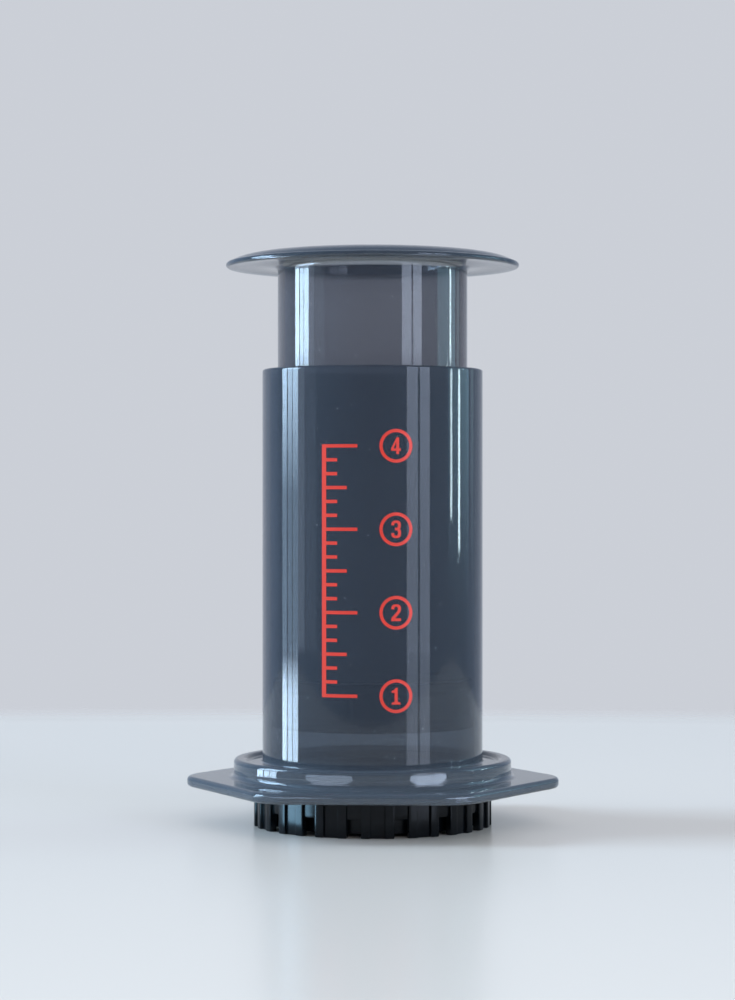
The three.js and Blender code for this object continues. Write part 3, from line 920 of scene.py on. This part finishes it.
# %% [markdown]
# ## The printed scale
# Four ringed numbers run up the tube, and a plain graduated scale stands beside them. Print is drawn
# flat first, in millimetres: a ring is a short line that is spun, and a number is an outline of corners
# with the same rounds as the sections above. The flat shape is cut into narrow upright slices, made a
# film with two sides, and then wrapped round the tube: its width becomes an angle, its height stays.

# %% Flat shapes for print
INK_LOW, INK_THICK, SLICE = 0.015, 0.035, 0.7
NUMBERS = {
    "1": [[(-1.25, -2.35), (1.25, -2.35, 0.1), (1.25, -1.75, 0.25), (0.45, -1.6, 0.2), (0.45, 2.35, 0.1),
           (-0.2, 2.35, 0.2), (-0.5, 1.75, 0.25), (-1.3, 1.5, 0.1), (-1.3, 0.95, 0.1), (-0.45, 0.95, 0.1),
           (-0.45, -1.6, 0.2), (-1.25, -1.75, 0.25)]],
    "2": [[(-1.4, -2.35), (1.4, -2.35, 0.1), (1.4, -1.55, 0.1), (-0.25, -1.55, 0.15), (1.4, 0.35, 0.8),
           (1.4, 2.35, 1.1), (-1.4, 2.35, 1.1), (-1.4, 0.95, 0.1), (-0.5, 0.95, 0.1), (-0.5, 1.65, 0.4),
           (0.5, 1.65, 0.4), (0.5, 0.6, 0.4), (-1.4, -1.5, 0.2)]],
    "3": [[(-1.4, 1.1, 0.1), (-1.4, 2.45, 1.1), (1.35, 2.45, 1.1), (1.35, 0.45, 0.35), (0.95, 0.1, 0.15),
           (1.4, -0.3, 0.35), (1.4, -2.45, 1.1), (-1.4, -2.45, 1.1), (-1.4, -1.05, 0.1),
           (-0.55, -1.05, 0.1), (-0.55, -1.75, 0.4), (0.52, -1.75, 0.4), (0.52, -0.3, 0.35),
           (-0.35, -0.3, 0.05), (-0.35, 0.45, 0.05), (0.48, 0.45, 0.35), (0.48, 1.75, 0.4),
           (-0.55, 1.75, 0.4), (-0.55, 1.1, 0.1)]],
    "4": [[(0.1, 2.35, 0.1), (0.85, 2.35, 0.1), (0.85, -0.7, 0.05), (1.35, -0.7, 0.1), (1.35, -1.4, 0.1),
           (0.85, -1.4, 0.05), (0.85, -2.3, 0.1), (0.0, -2.3, 0.1), (0.0, -1.4, 0.05), (-1.45, -1.4, 0.1),
           (-1.45, -0.75, 0.2)],
          [(0.0, 1.0, 0.05), (0.0, -0.7, 0.05), (-0.7, -0.7, 0.05)]],
}


def ring_sheet(outer, stroke):
    bm = bmesh.new()
    ends = [bm.verts.new((radius, 0, 0)) for radius in (outer - stroke, outer)]
    line = bm.edges.new(ends)
    bmesh.ops.spin(bm, geom=ends + [line], cent=(0, 0, 0), axis=(0, 0, 1), angle=math.tau, steps=96,
                   use_merge=True)
    return bm


def filled_sheet(outlines):
    bm = bmesh.new()
    for outline in outlines:
        loop = [bm.verts.new((point.x, point.y, 0)) for point in rounded(outline)]
        for pair in zip(loop, loop[1:] + loop[:1]):
            bm.edges.new(pair)
    bmesh.ops.triangle_fill(bm, use_beauty=True, edges=bm.edges, normal=(0, 0, 1))
    return bm


def printed(name, sheet, angle, height):
    """Wrap a flat sheet in mm round the tube as a film of ink, centred at an angle and a height."""
    widest = max(abs(vert.co.x) for vert in sheet.verts)
    for k in range(-int(widest / SLICE), int(widest / SLICE) + 1):
        bmesh.ops.bisect_plane(sheet, geom=sheet.verts[:] + sheet.edges[:] + sheet.faces[:],
                               plane_co=(k * SLICE, 0, 0), plane_no=(1, 0, 0))
    made = bmesh.ops.extrude_face_region(sheet, geom=sheet.faces[:])["geom"]
    top = [item for item in made if isinstance(item, bmesh.types.BMVert)]
    bmesh.ops.translate(sheet, verts=top, vec=(0, 0, INK_THICK))
    for vert in sheet.verts:
        turn = math.radians(angle) + vert.co.x / TUBE
        reach = (TUBE + INK_LOW + vert.co.z) * MM
        vert.co = Vector((math.sin(turn) * reach, -math.cos(turn) * reach, (height + vert.co.y) * MM))
    bmesh.ops.remove_doubles(sheet, verts=sheet.verts, dist=1e-6)
    bmesh.ops.recalc_face_normals(sheet, faces=sheet.faces)
    return finished(sheet, name, print_ink, "chamber", crease=60)


# %% [markdown]
# The scale is one outline, a comb: it runs up the spine on one side, and on the other it steps out and
# back for each mark. A mark that stands level with a number is long, and the ones between are short.

# %% Numbers and scale
CIRCLE, CIRCLE_STROKE = 4.72, 0.92
NUMBER_ANGLE, NUMBER_HEIGHTS = 14.4, (39.5, 62.77, 86.03, 109.3)
SCALE_ANGLE, SPINE, MARK, LONG, MIDDLE, SHORT = -14.4, 1.3, 0.95, 10.4, 7.4, 4.6
MARKS_PER_NUMBER = 6

for number, height in enumerate(NUMBER_HEIGHTS, 1):
    printed(f"number_ring_{number}", ring_sheet(CIRCLE, CIRCLE_STROKE), NUMBER_ANGLE, height)
    printed(f"number_{number}", filled_sheet(NUMBERS[str(number)]), NUMBER_ANGLE, height)

middle = (NUMBER_HEIGHTS[0] + NUMBER_HEIGHTS[-1]) / 2
marks = MARKS_PER_NUMBER * (len(NUMBER_HEIGHTS) - 1)
pitch = (NUMBER_HEIGHTS[-1] - NUMBER_HEIGHTS[0]) / marks
left, bottom, top = -LONG / 2, NUMBER_HEIGHTS[0] - middle, NUMBER_HEIGHTS[-1] - middle
comb = [(left, top + MARK / 2), (left, bottom - MARK / 2)]
for k in range(marks + 1):
    half = MARKS_PER_NUMBER // 2
    length = LONG if k % MARKS_PER_NUMBER == 0 else MIDDLE if k % half == 0 else SHORT
    low_edge, high_edge = bottom + k * pitch - MARK / 2, bottom + k * pitch + MARK / 2
    if k:
        comb.append((left + SPINE, low_edge))
    comb += [(left + length, low_edge, 0.12), (left + length, high_edge, 0.12)]
    if k < marks:
        comb.append((left + SPINE, high_edge))
printed("graduated_scale", filled_sheet([comb]), SCALE_ANGLE, middle)

# %% [markdown]
# ## Compare the sizes and finish
# The dressed press is meant to stay inside the box of the frame, so both boxes are measured and compared.

# %% Sizes and finish
visual_box = [list(corner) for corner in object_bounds()]
apart = max(abs(a - b) for corners in zip(cad_box, visual_box) for a, b in zip(*corners))
print(f"the two boxes differ by {apart / MM:.3f} mm at most")
scene.view_settings.view_transform = "Standard"
